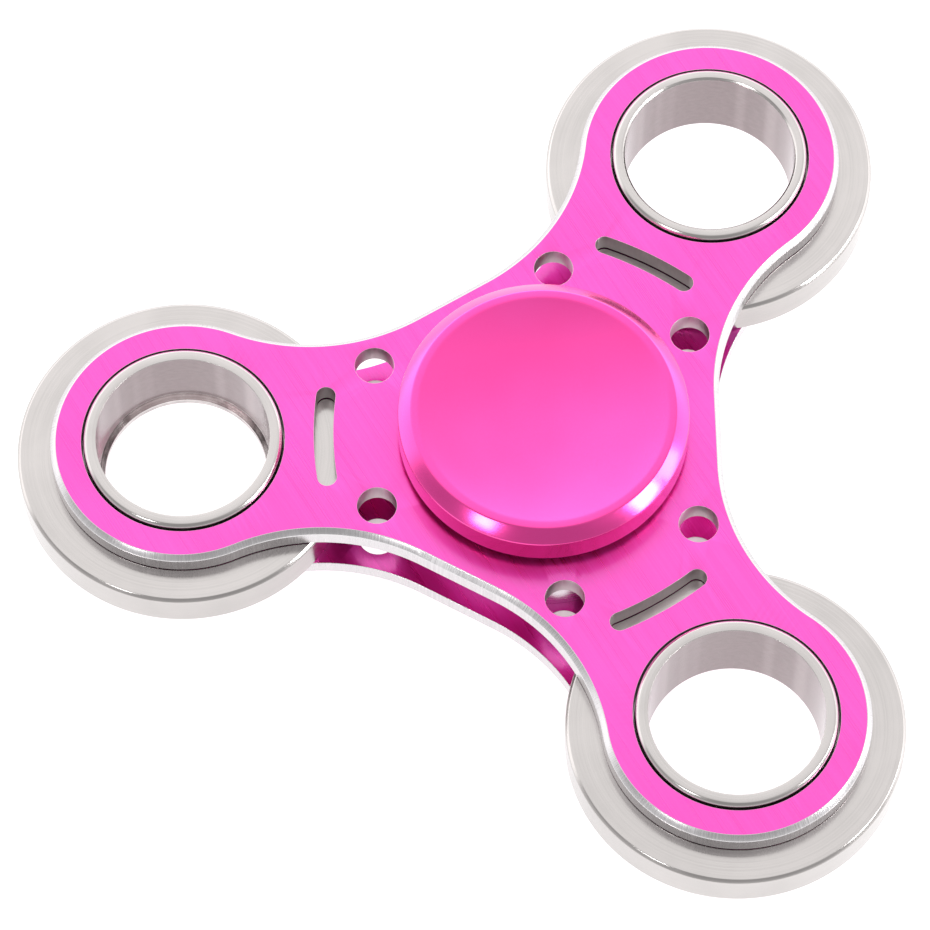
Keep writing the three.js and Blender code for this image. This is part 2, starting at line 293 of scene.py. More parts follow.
def turned_piece(name, profile, materials, centre=(0, 0, 0), closed=True, steps=TURNED_STEPS,
                 zones=None):
    """A piece turned about its own Z. An open profile starts and ends on the axis.
    zones gives the material index of the faces between two neighbouring profile points."""
    bm = bmesh.new()
    rings = []
    for radius, height in profile:
        if radius < ON_AXIS:
            rings.append([bm.verts.new((0, 0, height))])
            continue
        rings.append([bm.verts.new((radius * cos(a), radius * sin(a), height))
                      for a in (2 * pi * j / steps for j in range(steps))])
    count = len(rings)
    for i in range(count if closed else count - 1):
        lower, upper = rings[i], rings[(i + 1) % count]
        zone = zones(profile[i], profile[(i + 1) % count]) if zones else 0
        for j in range(steps):
            k = (j + 1) % steps
            corner_verts = [lower[j % len(lower)], lower[k % len(lower)],
                            upper[k % len(upper)], upper[j % len(upper)]]
            face = bm.faces.new(list(dict.fromkeys(corner_verts)))
            face.material_index = zone
    return finished_piece(name, bm, centre, materials)


def path_lengths(points):
    """Distance along a closed outline to each of its points, and all the way round."""
    total = 0
    lengths = [0]
    for a, b in zip(points, points[1:] + points[:1]):
        total += hypot(b[0] - a[0], b[1] - a[1])
        lengths.append(total)
    return lengths


# ---- materials ----

# The colour sockets of a mix node, which shares its socket names between data types.
MIX_FIRST, MIX_SECOND = 6, 7
MIX_RESULT = 2

# Lathe marks: how much faster they pass with height than with radius, and how far they waver.
LINE_STEEPNESS = 1.7
LINE_DRIFT = 0.05


class Nodes:
    """Adds nodes to a tree. A node's inputs are either sockets to link or plain values."""

    def __init__(self, tree):
        self.tree = tree

    def node(self, kind, inputs=(), **settings):
        node = self.tree.nodes.new(kind)
        for key, value in settings.items():
            setattr(node, key, value)
        for key, value in dict(inputs).items():
            if isinstance(value, bpy.types.NodeSocket):
                self.tree.links.new(value, node.inputs[key])
            else:
                node.inputs[key].default_value = value
        return node

    def ranged(self, value, from_low, from_high, to_low, to_high, interpolation="LINEAR"):
        inputs = {"Value": value, "From Min": from_low, "From Max": from_high,
                  "To Min": to_low, "To Max": to_high}
        node = self.node("ShaderNodeMapRange", inputs, interpolation_type=interpolation)
        return node.outputs["Result"]

    def sum(self, *values):
        total = values[0]
        for value in values[1:]:
            total = self.node("ShaderNodeMath", {0: total, 1: value}, operation="ADD").outputs[0]
        return total

    def times(self, value, factor):
        return self.node("ShaderNodeMath", {0: value, 1: factor}, operation="MULTIPLY").outputs[0]


class Look(Nodes):
    """A procedural material: a Principled BSDF with nodes for what varies over the surface."""

    def __init__(self, name):
        self.material = bpy.data.materials.new(name)
        self.material.use_nodes = True
        super().__init__(self.material.node_tree)
        self.shader = next(n for n in self.tree.nodes if n.type == "BSDF_PRINCIPLED")

    def set(self, **values):
        for name, value in values.items():
            self.shader.inputs[name.replace("_", " ")].default_value = value

    def link(self, output, input_name):
        self.tree.links.new(output, self.shader.inputs[input_name])

    def place(self):
        return self.node("ShaderNodeAttribute", attribute_name="place").outputs["Vector"]

    def uv(self, name):
        return self.node("ShaderNodeUVMap", uv_map=name).outputs["UV"]

    def scaled(self, vector, factors):
        node = self.node("ShaderNodeVectorMath", {0: vector, 1: factors}, operation="MULTIPLY")
        return node.outputs[0]

    def rotated(self, vector, angle):
        return self.node("ShaderNodeVectorRotate", {"Vector": vector, "Angle": angle},
                         rotation_type="Z_AXIS").outputs[0]

    def noise(self, vector, scale=1.0, detail=2.0, roughness=0.5):
        inputs = {"Vector": vector, "Scale": scale, "Detail": detail, "Roughness": roughness}
        return self.node("ShaderNodeTexNoise", inputs).outputs["Fac"]

    def clouds(self, cells_per_mm, detail):
        """Noise with cells of one size in every direction."""
        factors = (cells_per_mm, cells_per_mm, cells_per_mm)
        return self.noise(self.scaled(self.place(), factors), detail=detail)

    def varied(self, fields, reach, low=0.0, high=1.0):
        """Runs from low to high as the sum of some noise fields passes its middle value.
        reach is how far below and above that value the run starts and ends."""
        middle = len(fields) / 2
        return self.ranged(self.sum(*fields), middle - reach, middle + reach, low, high)

    def blended(self, factor, first, second):
        node = self.node("ShaderNodeMix", {"Factor": factor}, data_type="RGBA")
        node.inputs[MIX_FIRST].default_value = (*first, 1)
        node.inputs[MIX_SECOND].default_value = (*second, 1)
        return node.outputs[MIX_RESULT]

    def colour(self, factor, tones):
        self.link(self.blended(factor, *tones), "Base Color")

    def roughen(self, fields, reach, limits):
        self.link(self.varied(fields, reach, *limits), "Roughness")

    def turning_lines(self, spacing):
        """Noise in fine rings round the piece's axis: lathe marks on flat and on round faces."""
        place = self.place()
        split = self.node("ShaderNodeSeparateXYZ", {0: place})
        flat = self.scaled(place, (1, 1, 0))
        radius = self.node("ShaderNodeVectorMath", {0: flat}, operation="LENGTH").outputs["Value"]
        run = self.sum(radius, self.times(split.outputs["Z"], LINE_STEEPNESS))
        across = self.times(run, 1 / spacing)
        drift = self.scaled(place, (LINE_DRIFT, LINE_DRIFT, 0))
        parts = self.node("ShaderNodeSeparateXYZ", {0: drift})
        vector = self.node("ShaderNodeCombineXYZ", {0: parts.outputs[0], 1: parts.outputs[1], 2: across})
        return self.noise(vector.outputs[0], detail=3.0)

    def bump(self, height, depth_mm):
        inputs = {"Height": height, "Strength": 1.0, "Distance": depth_mm * MM}
        node = self.node("ShaderNodeBump", inputs)
        self.link(node.outputs["Normal"], "Normal")


# Each pair of tones is what noise mixes on a surface, as linear red, green and blue.
PLATE_PINKS = ((0.78, 0.038, 0.42), (0.8, 0.062, 0.5))
CAP_PINKS = ((0.96, 0.036, 0.35), (0.96, 0.048, 0.39))
EDGE_GREYS = ((0.45, 0.435, 0.445), (0.76, 0.735, 0.75))
# The hole wall's greys: darker as painted shade, tinted mauve as a painted reflection of the pink plate.
WALL_SHADE_AND_PINK_REFLECTION_GREYS = ((0.5, 0.44, 0.455), (0.64, 0.57, 0.585))
WEIGHT_GREYS = ((0.485, 0.46, 0.45), (0.545, 0.515, 0.505))
# The bore's greys are darker than the weight's: painted shade inside the tube.
BORE_SHADED_GREYS = ((0.3, 0.25, 0.255), (0.44, 0.38, 0.385))
LIP_GREYS = ((0.42, 0.38, 0.38), (0.8, 0.76, 0.75))
HOUSING_GREYS = ((0.68, 0.68, 0.69), (0.8, 0.8, 0.8))
GROUND_GREYS = ((0.52, 0.53, 0.54), (0.6, 0.6, 0.61))
SHEET_GREYS = ((0.44, 0.45, 0.46), (0.55, 0.55, 0.56))

# Each pair is the smoothest and the roughest that noise makes a surface.
BRUSHED_ROUGHNESS = (0.24, 0.36)
SATIN_ROUGHNESS = (0.17, 0.22)
EDGE_ROUGHNESS = (0.2, 0.34)
WALL_ROUGHNESS = (0.34, 0.5)
BORE_ROUGHNESS = (0.12, 0.22)
LIP_ROUGHNESS = (0.16, 0.26)

BRUSH_ANGLE = radians(60)

# Cells of noise to the millimetre: along and across the brushing, or along and down an edge.
FINE_BRUSHING = (0.05, 9.0, 1.0)
BROAD_BRUSHING = (0.03, 1.6, 1.0)
SCRATCHING = (0.05, 3.6, 1.0)
CUTTER_TICKS = (7.0, 0.35, 1.0)
TICK_PATCHES = (0.22, 0.3, 1.0)
WALL_MARKS = (4.0, 0.6, 1.0)
WALL_STAIN = (0.4, 0.5, 1.0)

# Cells of noise to the millimetre: across and up a bore.
BORE_MOTTLE = (1.6, 1.6, 2.4)
LIP_CHATTER = (0.9, 0.9, 1.5)

# Each pair is where a soft step between two levels of a noise field starts and ends.
SCRATCH_STEP = (0.73, 0.77)
TICKED_STEP = (0.45, 0.62)
# The band step below shapes the upright bands of painted reflection in a bore.
REFLECTION_BAND_STEP = (0.5, 0.66)

# A cut edge: how strong the ticks stay between their patches, where the chamfer ends, and where the
# chamfer and the wall below it lie between the two greys: the chamfer darker, as painted shade, and the
# wall lighter, as painted light.
FEWEST_TICKS = 0.15
CHAMFER_RUN = PLATE_CHAMFER * sqrt(2)
CHAMFER_BLEND = 0.05
CHAMFER_PAINTED_SHADE_TONE = 0.42
EDGE_WALL_PAINTED_LIGHT_TONE = 0.77

# Scale of the noise that makes the upright bands of painted reflection, taken round a circle of radius
# 1.
BORE_REFLECTION_BAND_SCALE = 2.4


def brushed_pink():
    """Anodised plate face: fine parallel brushing under a clear oxide, with a few long scratches."""
    look = Look("brushed_pink_anodising")
    look.set(Metallic=1.0, Coat_Weight=1.0, Coat_IOR=1.62, Coat_Roughness=0.16, Anisotropic=0.5)
    turned = look.rotated(look.place(), BRUSH_ANGLE)
    fine = look.noise(look.scaled(turned, FINE_BRUSHING), detail=2.0)
    broad = look.noise(look.scaled(turned, BROAD_BRUSHING), detail=3.0)
    cloud = look.clouds(0.12, detail=1.0)
    scratch_field = look.noise(look.scaled(turned, SCRATCHING), detail=0.0)
    scratches = look.ranged(scratch_field, *SCRATCH_STEP, 0.0, 1.0)
    look.colour(look.varied((fine, broad, cloud), reach=0.4), PLATE_PINKS)
    look.roughen((fine, broad), 0.4, BRUSHED_ROUGHNESS)
    grooves = look.sum(look.times(fine, 0.6), look.times(broad, 0.4), look.times(scratches, -0.9))
    look.bump(grooves, depth_mm=0.004)
    tangent = look.node("ShaderNodeTangent", direction_type="UV_MAP", uv_map="brush")
    look.link(tangent.outputs[0], "Tangent")
    return look.material


def satin_pink():
    """Anodised finger cap: blasted and turned, so a soft even sheen with a faint grain."""
    look = Look("satin_pink_anodising")
    look.set(Metallic=1.0, Coat_Weight=1.0, Coat_IOR=1.52, Coat_Roughness=0.17)
    grain = look.clouds(9.0, detail=3.0)
    lines = look.turning_lines(spacing=0.12)
    cloud = look.clouds(0.16, detail=1.0)
    look.colour(look.varied((grain, cloud), reach=0.3), CAP_PINKS)
    look.roughen((grain, lines), 0.4, SATIN_ROUGHNESS)
    look.bump(look.sum(look.times(grain, 0.4), look.times(lines, 0.6)), depth_mm=0.0018)
    return look.material


def milled_aluminium():
    """Bare cut edge: a chamfer painted darker, as painted shade, above a wall painted lighter, as
    painted light, with the cutter's ticks in places.
    """
    look = Look("milled_bare_aluminium")
    look.set(Metallic=1.0)
    run = look.uv("edge")
    down = look.node("ShaderNodeSeparateXYZ", {0: run}).outputs["Y"]
    ticks = look.noise(look.scaled(run, CUTTER_TICKS), detail=2.0)
    patches = look.noise(look.scaled(run, TICK_PATCHES), detail=1.0)
    where = look.ranged(patches, *TICKED_STEP, FEWEST_TICKS, 1.0)
    marks = look.times(look.sum(ticks, -0.5), where)
    # Painted shade and light: the chamfer's grey is darker and the wall's grey lighter, by height down
    # the edge.
    tone = look.ranged(down, CHAMFER_RUN - CHAMFER_BLEND, CHAMFER_RUN + CHAMFER_BLEND,
                       CHAMFER_PAINTED_SHADE_TONE, EDGE_WALL_PAINTED_LIGHT_TONE)
    look.colour(look.sum(tone, marks), EDGE_GREYS)
    look.roughen((ticks, patches), 0.3, EDGE_ROUGHNESS)
    look.bump(marks, depth_mm=0.012)
    return look.material


def hole_wall():
    """Wall of the holes and slots, painted darker as painted shade and greyish mauve as a painted
    reflection of the pink plate, with cutter marks.
    """
    look = Look("milled_hole_wall")
    look.set(Metallic=1.0)
    run = look.uv("edge")
    marks = look.noise(look.scaled(run, WALL_MARKS), detail=3.0)
    stain = look.noise(look.scaled(run, WALL_STAIN), detail=1.0)
    # Painted shade and a painted pink reflection on the hole wall, varied by cutter marks and stains.
    look.colour(look.varied((marks, stain), reach=0.3), WALL_SHADE_AND_PINK_REFLECTION_GREYS)
    look.roughen((marks,), 0.2, WALL_ROUGHNESS)
    look.bump(marks, depth_mm=0.01)
    return look.material


def turned_metal(name, tones, spacing, roughness, depth_mm):
    """Bare metal with fine rings from turning or grinding, and a slight unevenness of tone."""
    look = Look(name)
    look.set(Metallic=1.0)
    lines = look.turning_lines(spacing)
    cloud = look.clouds(0.22, detail=2.0)
    look.colour(look.varied((lines, cloud), reach=0.25), tones)
    look.roughen((lines, cloud), 0.3, roughness)
    look.bump(lines, depth_mm)
    return look.material


def bored_steel():
    """Wall of a weight's bore: painted darker than its faces as painted shade, with soft upright bands
    of painted reflection and fine rings.
    """
    look = Look("bored_stainless_steel")
    look.set(Metallic=1.0)
    place = look.place()
    flat = look.scaled(place, (1, 1, 0))
    outwards = look.node("ShaderNodeVectorMath", {0: flat}, operation="NORMALIZE").outputs[0]
    # Painted reflections: soft upright bands round the bore, over a grey darkened as painted shade.
    reflection_field = look.noise(outwards, scale=BORE_REFLECTION_BAND_SCALE, detail=1.0)
    reflection_bands = look.ranged(reflection_field, *REFLECTION_BAND_STEP, 0.0, 1.0, interpolation="SMOOTHSTEP")
    mottle = look.noise(look.scaled(place, BORE_MOTTLE), detail=3.0)
    rings = look.turning_lines(spacing=0.2)
    tone = look.sum(look.times(reflection_bands, 0.5), look.times(mottle, 0.4), look.times(rings, 0.2))
    look.colour(look.ranged(tone, 0.2, 1.0, 0.0, 1.0), BORE_SHADED_GREYS)
    look.roughen((mottle, rings), 0.4, BORE_ROUGHNESS)
    look.bump(look.sum(rings, mottle), depth_mm=0.002)
    return look.material


def reamed_lip():
    """The lip in the second weight's bore: the reamer's rings, with a little chatter."""
    look = Look("reamed_stainless_steel")
    look.set(Metallic=1.0)
    chatter = look.noise(look.scaled(look.place(), LIP_CHATTER), detail=2.0)
    rings = look.turning_lines(spacing=0.35)
    tone = look.sum(look.times(rings, 0.6), look.times(chatter, 0.4))
    look.colour(look.ranged(tone, 0.35, 0.65, 0.0, 1.0), LIP_GREYS)
    look.roughen((chatter,), 0.2, LIP_ROUGHNESS)
    look.bump(rings, depth_mm=0.006)
    return look.material


PLATE_MATERIALS = [brushed_pink(), milled_aluminium(), hole_wall()]
FACE, OUTER_EDGE, HOLE_WALL = range(3)
CAP_PINK = satin_pink()
WEIGHT_STEEL = turned_metal("turned_stainless_steel", WEIGHT_GREYS, spacing=0.11,
                            roughness=(0.14, 0.24), depth_mm=0.0022)
BORE_STEEL = bored_steel()
LIP_STEEL = reamed_lip()
HOUSING_ALUMINIUM = turned_metal("turned_aluminium", HOUSING_GREYS, spacing=0.16,
                                 roughness=(0.2, 0.32), depth_mm=0.003)
GROUND_STEEL = turned_metal("ground_bearing_steel", GROUND_GREYS, spacing=0.07,
                            roughness=(0.07, 0.14), depth_mm=0.0012)
SHEET_STEEL = turned_metal("pressed_sheet_steel", SHEET_GREYS, spacing=0.3,
                           roughness=(0.25, 0.38), depth_mm=0.004)


# ---- the plates ----

PLATE_EDGE_FILLETS = (0.05, 0.08, 0.06)
HOLE_EDGE_BREAK = 0.025


def plate_edges():
    """Every outline of a plate, with the profile and the material of its edge."""
    face_fillet, chamfer_fillet, inner_fillet = PLATE_EDGE_FILLETS
    outer_edge = filleted([
        (-1, PLATE_OUTER_Z, 0),
        (0, PLATE_OUTER_Z, face_fillet),
        (PLATE_CHAMFER, PLATE_OUTER_Z - PLATE_CHAMFER, chamfer_fillet),
        (PLATE_CHAMFER, PLATE_INNER_Z, inner_fillet),
        (-1, PLATE_INNER_Z, 0),
    ], closed=False)[1:-1]
    hole_edge = filleted([
        (1, PLATE_OUTER_Z, 0),
        (0, PLATE_OUTER_Z, HOLE_EDGE_BREAK),
        (0, PLATE_INNER_Z, HOLE_EDGE_BREAK),
        (1, PLATE_INNER_Z, 0),
    ], closed=False)[1:-1]
    holes = [circle_outline((0, 0), HOUSING_HOLE_RADIUS, TURNED_STEPS)]
    for centre, angle in zip(ARM_CENTRES, ARM_ANGLES):
        holes.append(circle_outline(centre.xy, WEIGHT_HOLE_RADIUS, TURNED_STEPS))
        holes.append(slot_outline(angle))
        for side in (-1, 1):
            at = angle + side * SMALL_HOLE_ANGLE
            small = (SMALL_HOLE_REACH * cos(at), SMALL_HOLE_REACH * sin(at))
            holes.append(circle_outline(small, SMALL_HOLE_RADIUS, HOLE_STEPS))
    return [(plate_outline, outer_edge, OUTER_EDGE)] + [(hole, hole_edge, HOLE_WALL) for hole in holes]


def plate(name, upside):
    """A flat plate with a chamfered outer edge and its holes.
    upside is 1 for the top plate and -1 for the bottom one."""
    bm = bmesh.new()
    edge_uv = bm.loops.layers.uv.new("edge")
    brush_uv = bm.loops.layers.uv.new("brush")
    face_edges = {"outer": [], "inner": []}
    for outline, profile, material in plate_edges():
        distances = path_lengths(outline(0))
        heights = path_lengths(profile)
        rings = [[bm.verts.new((x, y, upside * z)) for x, y in outline(grow)] for grow, z in profile]
        for i in range(len(rings) - 1):
            bridge(bm, rings[i], rings[i + 1], edge_uv, distances, heights[i:i + 2], material)
        for side, ring in (("outer", rings[0]), ("inner", rings[-1])):
            face_edges[side] += [bm.edges.get((ring[j - 1], ring[j])) for j in range(len(ring))]
    for edges in face_edges.values():
        filled = bmesh.ops.triangle_fill(bm, edges=edges, use_beauty=True, normal=(0, 0, 1))
        for item in filled["geom"]:
            if isinstance(item, bmesh.types.BMFace):
                item.material_index = FACE
    for face in bm.faces:
        for loop in face.loops:
            loop[brush_uv].uv = turned_by([loop.vert.co.xy], BRUSH_ANGLE)[0]
    return finished_piece(name, bm, (0, 0, 0), PLATE_MATERIALS)


for plate_name, upside in (("top_plate", 1), ("bottom_plate", -1)):
    piece = plate(f"{plate_name}_finished", upside)
    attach(piece, "rotor")
    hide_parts(plate_name)


# ---- the ring weights ----

WEIGHT_MATERIALS = [WEIGHT_STEEL, BORE_STEEL, LIP_STEEL]
OUTSIDE, BORE, LIP = range(3)


def ring_weight(index):
    """A tube with a disc round its middle. The first has a chamfered bore and the second a lip in it."""
    upper_chamfer = BORE_CHAMFER if index == 0 else 0
    lip_radius = LIP_RADIUS if index == 1 else BORE_RADIUS
    rim = TUBE_RADIUS - RIM_EDGE_BREAK
    corners = [
        (FUNNEL_RADIUS, WEIGHT_END, 0.04),
        (rim, WEIGHT_END, 0.09),
        (TUBE_RADIUS, WEIGHT_END + RIM_EDGE_BREAK, 0.12),
        (TUBE_RADIUS, -DISC_HALF, 0.1),
        (DISC_RADIUS - DISC_CHAMFER, -DISC_HALF, 0.05),
        (DISC_RADIUS, DISC_CHAMFER - DISC_HALF, 0.07),
        (DISC_RADIUS, DISC_HALF - DISC_CHAMFER, 0.07),
        (DISC_RADIUS - DISC_CHAMFER, DISC_HALF, 0.05),
        (TUBE_RADIUS, DISC_HALF, 0.1),
        (TUBE_RADIUS, WEIGHT_TOP - RIM_EDGE_BREAK, 0.12),
        (rim, WEIGHT_TOP, 0.09),
    ]
    if upper_chamfer:
        corners.append((BORE_RADIUS + upper_chamfer, WEIGHT_TOP, 0.04))
        corners.append((BORE_RADIUS, WEIGHT_TOP - upper_chamfer, 0.04))
    else:
        corners.append((BORE_RADIUS, WEIGHT_TOP, 0.05))
    if lip_radius < BORE_RADIUS:
        narrowing = BORE_RADIUS - lip_radius
        corners.append((BORE_RADIUS, LIP_Z, 0.03))
        corners.append((lip_radius, LIP_Z - narrowing, 0.03))
    corners.append((lip_radius, WEIGHT_END + FUNNEL_RADIUS - lip_radius, 0.04))

    def zone(a, b):
        if max(a[0], b[0]) > BORE_RADIUS + ON_RADIUS:
            return OUTSIDE
        return BORE if min(a[0], b[0]) > BORE_RADIUS - ON_RADIUS else LIP

    return turned_piece(f"ring_weight_{index + 1}_turned", filleted(corners), WEIGHT_MATERIALS,
                        centre=ARM_CENTRES[index], steps=FINE_TURNED_STEPS, zones=zone)


for index in range(WEIGHT_COUNT):
    piece = ring_weight(index)
    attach(piece, f"weight_{index + 1}")
    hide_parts(f"ring_weight_{index + 1}")


# ---- the finger caps ----

def cap_outside():
    """The upper cap's outside as profile corners, from its boss to the middle of its dish."""
    boss = BEARING_END + SEAT_CLEARANCE
    underside = PLATE_OUTER_Z + CAP_CLEARANCE
    wall_top = PLATE_OUTER_Z + CAP_WALL_TOP
    sphere_radius = (CAP_LIP_INNER_RADIUS ** 2 + CAP_DISH_DEPTH ** 2) / (2 * CAP_DISH_DEPTH)
    dish_centre = CAP_TOP - CAP_DISH_DEPTH + sphere_radius
    dish_half = asin(CAP_LIP_INNER_RADIUS / sphere_radius)
    dish = arc((0, dish_centre), sphere_radius, dish_half - pi / 2, -pi / 2, DISH_STEPS)
    corners = [
        (CAP_STEM_RADIUS, boss, 0.1),
        (CAP_BOSS_RADIUS, boss, 0.1),
        (CAP_BOSS_RADIUS, underside, 0.15),
        (CAP_RADIUS, underside, 0.12),
        (CAP_RADIUS, wall_top, 0.1),
        (CAP_LIP_OUTER_RADIUS, CAP_TOP, 0.12),
        (CAP_LIP_INNER_RADIUS, CAP_TOP, 0.12),
    ]
    return corners + [(max(x, 0), z, 0) for x, z in dish[1:]]


def top_cap():
    corners = [
        (0, STUD_HOLE_END, 0),
        (STUD_HOLE_RADIUS, STUD_HOLE_END, 0.1),
        (STUD_HOLE_RADIUS, STEM_END, 0.1),
        (CAP_STEM_RADIUS, STEM_END, 0.15),
        *cap_outside(),
    ]
    return turned_piece("top_cap_turned", filleted(corners, closed=False), [CAP_PINK],
                        closed=False, steps=FINE_TURNED_STEPS)


def bottom_cap():
    outside = [(x, -z, fillet) for x, z, fillet in reversed(cap_outside())]
    corners = [
        *outside,
        (CAP_STEM_RADIUS, -STEM_END, 0.15),
        (STUD_RADIUS, -STEM_END, 0.1),
        (STUD_RADIUS, STUD_END, 0.2),
        (0, STUD_END, 0),
    ]
    return turned_piece("bottom_cap_turned", filleted(corners, closed=False), [CAP_PINK],
                        closed=False, steps=FINE_TURNED_STEPS)


for piece, node in ((top_cap(), "top_cap"), (bottom_cap(), "bottom_cap")):
    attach(piece, "hub")
    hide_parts(node)


# ---- the housing and the bearing ----

def bearing_housing():
    shoulder = PLATE_INNER_Z - SEAT_CLEARANCE
    bore = BEARING_OUTER_RADIUS + SEAT_CLEARANCE
    end = PLATE_OUTER_Z - SEAT_CLEARANCE
    half = [
        (HOUSING_RADIUS, shoulder, 0.06),
        (SPIGOT_RADIUS, shoulder, 0.05),
        (SPIGOT_RADIUS, end, 0.12),
        (bore, end, 0.15),
    ]
    other = [(x, -z, fillet) for x, z, fillet in reversed(half)]
    return turned_piece("bearing_housing_turned", filleted(half + other), [HOUSING_ALUMINIUM])


def groove(shoulder_radius, side):
    """The ball groove of a bearing ring, from its upper edge to its lower one.
    side is 1 for the ring outside the balls and -1 for the one inside them."""
    half = acos(abs(shoulder_radius - PITCH_RADIUS) / GROOVE_RADIUS)
    middle = 0 if side > 0 else pi
    points = arc((PITCH_RADIUS, 0), GROOVE_RADIUS, middle + side * half, middle - side * half,
                 GROOVE_STEPS)
    return [(x, z, 0) for x, z in points]


def outer_ring():
    seat = BEARING_END - SHIELD_SEAT_DEPTH
    corners = [
        (BEARING_OUTER_RADIUS, -BEARING_END, 0.25),
        (BEARING_OUTER_RADIUS, BEARING_END, 0.25),
        (SHIELD_SEAT_RADIUS, BEARING_END, 0.08),
        (SHIELD_SEAT_RADIUS, seat, 0.03),
        (OUTER_SHOULDER_RADIUS, seat, 0.05),
        *groove(OUTER_SHOULDER_RADIUS, 1),
        (OUTER_SHOULDER_RADIUS, -seat, 0.05),
        (SHIELD_SEAT_RADIUS, -seat, 0.03),
        (SHIELD_SEAT_RADIUS, -BEARING_END, 0.08),
    ]
    return turned_piece("bearing_outer_ring_ground", filleted(corners), [GROUND_STEEL])


def inner_ring():
    corners = [
        (BEARING_BORE_RADIUS, BEARING_END, 0.2),
        (BEARING_BORE_RADIUS, -BEARING_END, 0.2),
        (INNER_SHOULDER_RADIUS, -BEARING_END, 0.15),
        *reversed(groove(INNER_SHOULDER_RADIUS, -1)),
        (INNER_SHOULDER_RADIUS, BEARING_END, 0.15),
    ]
    return turned_piece("bearing_inner_ring_ground", filleted(corners), [GROUND_STEEL])


def shield(name, side):
    """A pressed dust shield: a shallow bend between its seated rim and its inner edge."""
    bend = SHIELD_RADIUS - SHIELD_FLANGE
    pressed = SHIELD_HIGH - SHIELD_BEND_DROP
    corners = [
        (SHIELD_INNER_RADIUS, SHIELD_LOW, 0.04),
        (SHIELD_RADIUS, SHIELD_LOW, 0.04),
        (SHIELD_RADIUS, SHIELD_HIGH, 0.08),
        (bend, SHIELD_HIGH, 0.1),
        (bend - SHIELD_BEND_RUN, pressed, 0.1),
        (SHIELD_INNER_RADIUS, pressed, 0.04),
    ]
    profile = [(x, side * z) for x, z in filleted(corners)]
    return turned_piece(name, profile, [SHEET_STEEL])


def cage_height(angle, radius):
    """Height of a sheet that lies flat between the balls and bends over each of them at a radius."""
    step = 2 * pi / BALL_COUNT
    along = PITCH_RADIUS * ((angle + step / 2) % step - step / 2)
    return sqrt(max(radius ** 2 - along ** 2, 0))


def rivet_head(bm, centre, side):
    """A low dome, closed underneath, which stands on the cage's flat."""
    foot = SEAT_CLEARANCE + CAGE_SHEET
    rings = []
    for i in range(RIVET_RINGS):
        lean = pi / 2 * i / RIVET_RINGS
        rings.append([bm.verts.new((centre[0] + RIVET_RADIUS * cos(lean) * cos(a),
                                    centre[1] + RIVET_RADIUS * cos(lean) * sin(a),
                                    side * (foot + RIVET_HEIGHT * sin(lean))))
                      for a in (2 * pi * j / RIVET_STEPS for j in range(RIVET_STEPS))])
    for lower, upper in zip(rings, rings[1:]):
        for j in range(RIVET_STEPS):
            bm.faces.new((lower[j - 1], lower[j], upper[j], upper[j - 1]))
    bm.faces.new(rings[0])
    bm.faces.new(rings[-1])


def cage_half(name, side):
    """Half of the pressed ribbon cage, with a rivet's head on each flat between two balls."""
    bm = bmesh.new()
    edges = (PITCH_RADIUS - CAGE_HALF_WIDTH, PITCH_RADIUS + CAGE_HALF_WIDTH)
    pocket = CAGE_TOP - CAGE_SHEET
    sections = []
    for i in range(CAGE_STEPS):
        angle = 2 * pi * i / CAGE_STEPS
        low = max(cage_height(angle, pocket), SEAT_CLEARANCE)
        high = max(cage_height(angle, CAGE_TOP), SEAT_CLEARANCE + CAGE_SHEET)
        corners = ((edges[0], low), (edges[1], low), (edges[1], high), (edges[0], high))
        sections.append([bm.verts.new((r * cos(angle), r * sin(angle), side * z)) for r, z in corners])
    for i in range(CAGE_STEPS):
        for j in range(4):
            here, there = sections[i - 1], sections[i]
            bm.faces.new((here[j], here[j - 3], there[j - 3], there[j]))
    for index in range(BALL_COUNT):
        angle = 2 * pi * (index + 0.5) / BALL_COUNT
        rivet_head(bm, (PITCH_RADIUS * cos(angle), PITCH_RADIUS * sin(angle)), side)
    return finished_piece(name, bm, (0, 0, 0), [SHEET_STEEL])


def ball(number):
    half_circle = arc((0, 0), BALL_RADIUS, -pi / 2, pi / 2, BALL_ARC_STEPS)
    profile = [(max(x, 0), z) for x, z in half_circle]
    return turned_piece(f"ball_{number}_ground", profile, [GROUND_STEEL], closed=False,
                        steps=BALL_STEPS, centre=JOINT_AT[f"ball_{number}_roll"])


piece = bearing_housing()
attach(piece, "rotor")
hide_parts("bearing_housing")

for piece, body, node, slot in (
    (outer_ring(), "rotor", "bearing_outer_ring", "bearing_steel"),
    (inner_ring(), "hub", "bearing_inner_ring", "bearing_steel"),
    (shield("upper_shield_pressed", 1), "rotor", "upper_shield", "sheet_steel"),
    (shield("lower_shield_pressed", -1), "rotor", "lower_shield", "sheet_steel"),
):
    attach(piece, body)
    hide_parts(node)

for number in range(1, BALL_COUNT + 1):
    piece = ball(number)
    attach(piece, f"rolling_ball_{number}")
    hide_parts(f"ball_{number}")

for name, node, side in (
    ("upper_cage_half_pressed", "upper_cage_half", 1),
    ("lower_cage_half_pressed", "lower_cage_half", -1),
):
    piece = cage_half(name, side)
    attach(piece, "cage")
    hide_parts(node)


# ---- stage, light and camera ----

# The camera: its target is written in millimetres and its distance in metres. Angles are in degrees,
# lens and sensor in millimetres.
TARGET = Vector((-6.794, -3.044, 4.1)) * MM
CAMERA_DISTANCE = 0.48185
CAMERA_AZIMUTH = -1.354
CAMERA_ELEVATION = 63.96
CAMERA_LENS = 217.3
CAMERA_SENSOR = 36

